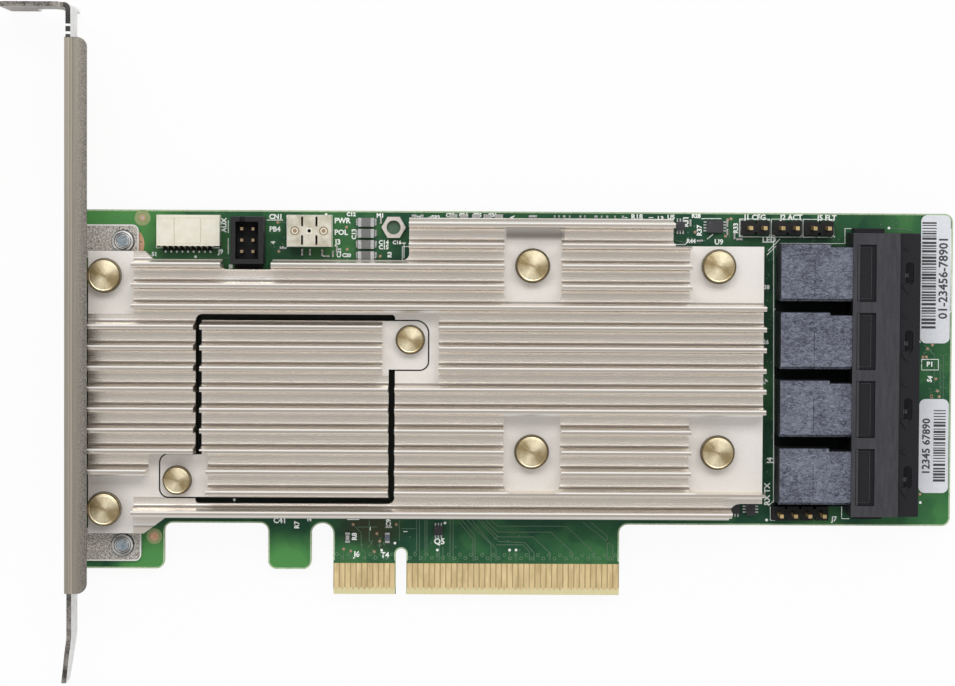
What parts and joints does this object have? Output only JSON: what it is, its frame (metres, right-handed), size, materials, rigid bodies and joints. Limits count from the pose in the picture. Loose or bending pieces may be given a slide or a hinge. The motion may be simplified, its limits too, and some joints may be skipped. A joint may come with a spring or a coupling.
{
  "type": "storage controller card",
  "caption": "Plug-in circuit board with a full-height slot bracket, two finned heatsinks on spring pins and a row of cable ports at its free end.",
  "frame": {"origin": "middle of the bounding box on the face that the card lies on, the back edge of the bracket", "axes": "+X along the board from the bracket to the cable ports, +Y from the edge contacts to the bracket's top tab, +Z out of the component side"},
  "size_m": [0.1688, 0.12, 0.0184],
  "materials": {
    "laminate": "solder mask, satin",
    "gold": "plated, bright",
    "zinc_sheet": "plated sheet",
    "screw_steel": "bright",
    "anodised": "light anodised",
    "brass": "turned",
    "spring_steel": "wire",
    "substrate": "laminate",
    "lid_metal": "nickel plated",
    "gap_pad": "matt",
    "mould_black": "moulded",
    "port_shell": "plated, mottled",
    "port_black": "moulded",
    "ivory": "moulded",
    "pin_gold": "plated",
    "tin": "tinned",
    "ceramic_brown": "fired",
    "label_paper": "paper label"
  },
  "bodies": {
    "root": {"board_post": "tin", "bracket": "zinc_sheet", "bracket_screws": "screw_steel", "capacitor_bodies": "ceramic_brown", "capacitor_ends": "tin", "circuit_board": "laminate", "controller_lid": "lid_metal", "controller_substrate": "substrate", "controller_thermal_pad": "gap_pad", "edge_contacts_back": "gold", "edge_contacts_front": "gold", "expander_lid": "lid_metal", "expander_substrate": "substrate", "expander_thermal_pad": "gap_pad", "jumper_bases": "mould_black", "jumper_pins": "pin_gold", "key_socket": "ivory", "key_socket_pins": "pin_gold", "labels": "label_paper", "main_heatsink": "anodised", "main_push_pins": "brass", "memory_chips": "mould_black", "pin_springs": "spring_steel", "port_block_1": "port_shell", "port_block_2": "port_shell", "port_block_3": "port_shell", "port_block_4": "port_shell", "port_housing": "port_black", "power_connector": "ivory", "power_connector_leads": "tin", "service_header_base": "mould_black", "service_header_pins": "pin_gold", "shrouded_header": "mould_black", "shrouded_header_pins": "pin_gold", "small_chip_leads": "tin", "small_chips": "mould_black", "small_heatsink": "anodised", "small_push_pins": "brass"}
  },
  "joints": []
}
